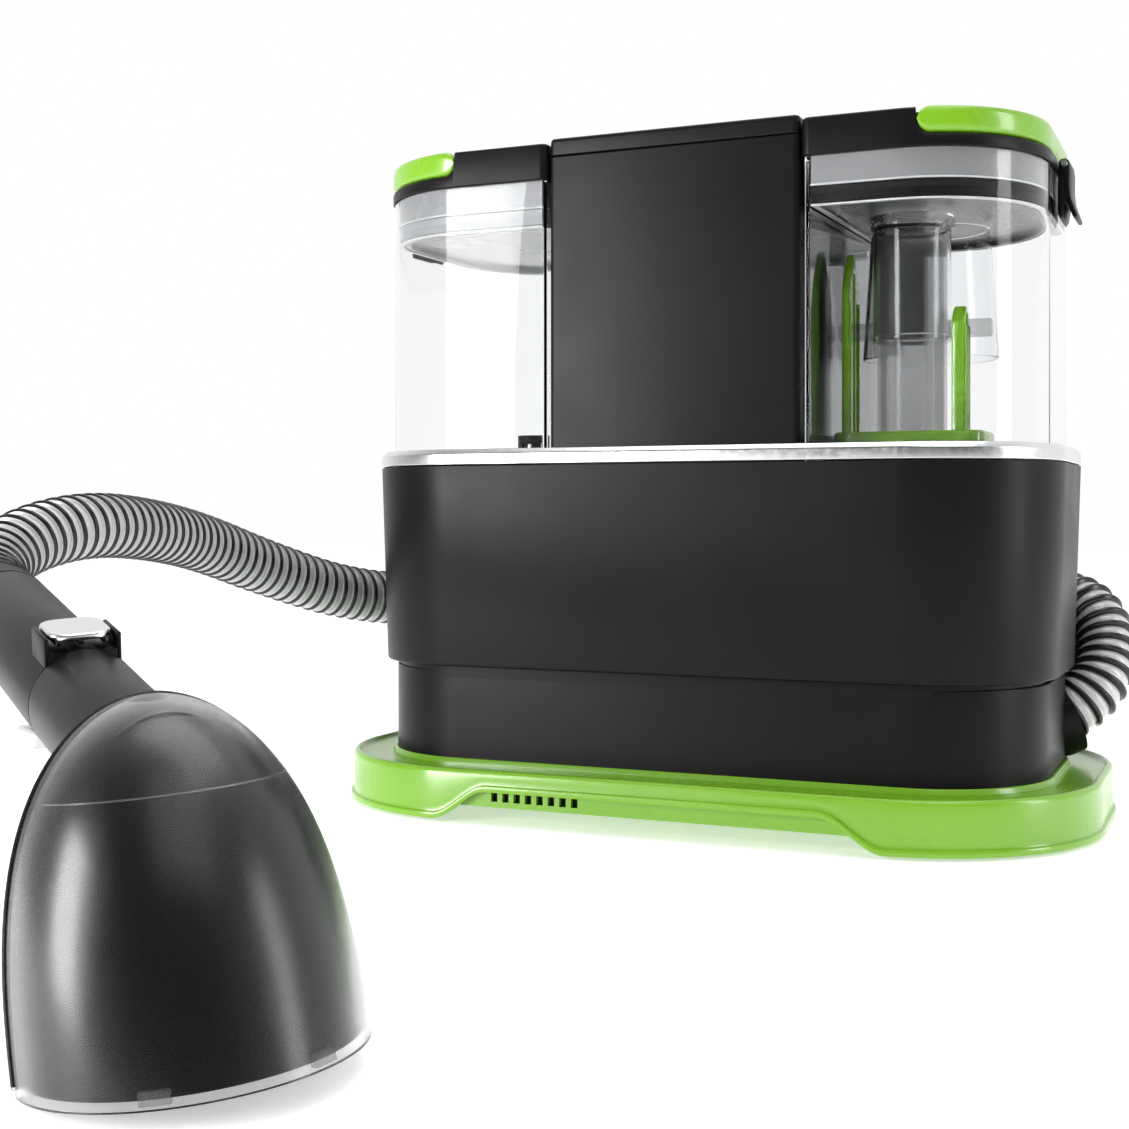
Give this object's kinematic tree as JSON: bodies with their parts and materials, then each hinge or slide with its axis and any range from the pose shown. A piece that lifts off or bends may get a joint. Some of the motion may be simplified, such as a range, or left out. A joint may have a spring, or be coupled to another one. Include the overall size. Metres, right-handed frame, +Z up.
{
  "type": "spot extractor",
  "caption": "Portable spot-cleaning extractor with a clean and a dirty water tank beside a centre column, on a splayed base, with a ribbed suction hose and a domed hand nozzle.",
  "frame": {"origin": "on the floor under the middle of the machine's base, level with the undersides of its rubber feet", "axes": "+X to the machine's right as its front is faced, +Y to its back, +Z up"},
  "size_m": [0.4839, 0.6524, 0.3365],
  "materials": {
    "shell_black": "satin moulded",
    "accent_green": "gloss",
    "trim_silver": "satin lacquer",
    "tank_clear": "clear plastic",
    "insert_smoke": "smoked plastic",
    "soft_seal": "soft",
    "hose_grey": "ribbed, translucent",
    "steel": "turned",
    "cast_light": "cast",
    "jet_brass": "turned"
  },
  "bodies": {
    "machine": {"base_cover": "accent_green", "base_pan": "accent_green", "rubber_feet": "soft_seal", "base_screws": "steel", "lower_skirt": "shell_black", "main_housing": "shell_black", "trim_ring": "trim_silver", "tank_deck": "shell_black", "column_front": "shell_black", "column_back": "shell_black", "column_cap": "shell_black", "carry_grip": "shell_black", "power_switch": "shell_black", "motor_bracket": "steel", "motor_can": "cast_light", "motor_gasket": "soft_seal", "fan_shroud": "shell_black", "air_duct": "shell_black", "pump_body": "shell_black", "pump_spring": "steel", "pump_feed_tube": "hose_grey", "hose_duct": "shell_black", "hose_port": "shell_black", "cord_gland": "shell_black", "hose_hooks": "shell_black", "tool_handle": "shell_black", "trigger_pin": "steel", "hose_collar": "shell_black", "hose": "hose_grey"},
    "power_button": {"power_button": "trim_silver"},
    "fan": {"motor_rotor": "steel", "suction_impeller": "cast_light"},
    "pump_piston": {"pump_piston": "steel"},
    "nozzle": {"nozzle_body": "shell_black", "nozzle_cover": "tank_clear", "spray_tip": "jet_brass"},
    "release_button": {"release_button": "trim_silver"},
    "trigger": {"trigger": "insert_smoke"},
    "clean_tank": {"clean_tank": "tank_clear", "clean_valve_body": "soft_seal", "clean_valve_spring": "steel"},
    "clean_valve": {"clean_valve_plunger": "steel"},
    "clean_lid": {"clean_lid": "shell_black", "clean_lid_plate": "insert_smoke", "clean_lid_seal": "soft_seal", "clean_latch_pin": "steel"},
    "clean_handle": {"clean_handle": "accent_green"},
    "clean_latch": {"clean_latch": "shell_black"},
    "dirty_tank": {"dirty_tank": "tank_clear", "standpipe": "insert_smoke", "air_channel": "insert_smoke"},
    "dirty_lid": {"dirty_lid": "shell_black", "dirty_lid_plate": "insert_smoke", "dirty_lid_seal": "soft_seal", "dirty_latch_pin": "steel", "separator_sleeve": "insert_smoke", "splash_cone": "tank_clear"},
    "dirty_handle": {"dirty_handle": "accent_green"},
    "dirty_latch": {"dirty_latch": "shell_black"},
    "float": {"float": "accent_green"}
  },
  "joints": [
    {"name": "power_button_press", "type": "slide", "parent": "machine", "child": "power_button", "axis": [0, 0, -1], "range_m": [0, 0.002], "stiffness_N_per_m": 600, "springref_m": -0.001},
    {"name": "fan_spin", "type": "hinge", "parent": "machine", "child": "fan", "pos_m": [0, 0, 0.08], "axis": [0, 0, 1], "continuous": true},
    {"name": "pump_stroke", "type": "slide", "parent": "machine", "child": "pump_piston", "axis": [1, 0, 0], "range_m": [-0.001, 0.001], "stiffness_N_per_m": 900, "deforming": ["pump_spring"]},
    {"name": "nozzle_pull", "type": "slide", "parent": "machine", "child": "nozzle", "axis": [0.7912, -0.589, -0.1648], "range_m": [0, 0.03]},
    {"name": "release_press", "type": "slide", "parent": "machine", "child": "release_button", "axis": [-0.0914, 0.1526, -0.9841], "range_m": [0, 0.0015], "stiffness_N_per_m": 600, "springref_m": -0.001},
    {"name": "trigger_squeeze", "type": "hinge", "parent": "machine", "child": "trigger", "pos_m": [-0.14638, -0.35169, 0.08041], "axis": [-0.6047, -0.7936, -0.0668], "range_deg": [0, 8], "stiffness_Nm_per_rad": 0.4, "springref_deg": -5.73},
    {"name": "clean_tank_lift", "type": "slide", "parent": "machine", "child": "clean_tank", "axis": [0, 0, 1], "range_m": [0, 0.17]},
    {"name": "clean_lid_lift", "type": "slide", "parent": "clean_tank", "child": "clean_lid", "axis": [0, 0, 1], "range_m": [0, 0.05]},
    {"name": "clean_handle_raise", "type": "hinge", "parent": "clean_lid", "child": "clean_handle", "pos_m": [-0.118, 0, 0.3291], "axis": [0, 1, 0], "range_deg": [0, 90]},
    {"name": "clean_latch_open", "type": "hinge", "parent": "clean_lid", "child": "clean_latch", "pos_m": [-0.1764, 0, 0.3194], "axis": [0, 1, 0], "range_deg": [0, 35]},
    {"name": "dirty_tank_lift", "type": "slide", "parent": "machine", "child": "dirty_tank", "axis": [0, 0, 1], "range_m": [0, 0.17]},
    {"name": "dirty_lid_lift", "type": "slide", "parent": "dirty_tank", "child": "dirty_lid", "axis": [0, 0, 1], "range_m": [0, 0.14]},
    {"name": "dirty_handle_raise", "type": "hinge", "parent": "dirty_lid", "child": "dirty_handle", "pos_m": [0.1274, 0, 0.3291], "axis": [0, -1, 0], "range_deg": [0, 90]},
    {"name": "dirty_latch_open", "type": "hinge", "parent": "dirty_lid", "child": "dirty_latch", "pos_m": [0.1764, 0, 0.3194], "axis": [0, -1, 0], "range_deg": [0, 35]},
    {"name": "clean_valve_open", "type": "slide", "parent": "clean_tank", "child": "clean_valve", "axis": [0, 0, 1], "range_m": [0, 0.003], "stiffness_N_per_m": 200, "springref_m": -0.002, "deforming": ["clean_valve_spring"]},
    {"name": "float_rise", "type": "slide", "parent": "dirty_lid", "child": "float", "axis": [0, 0, 1], "range_m": [0, 0.01]}
  ]
}
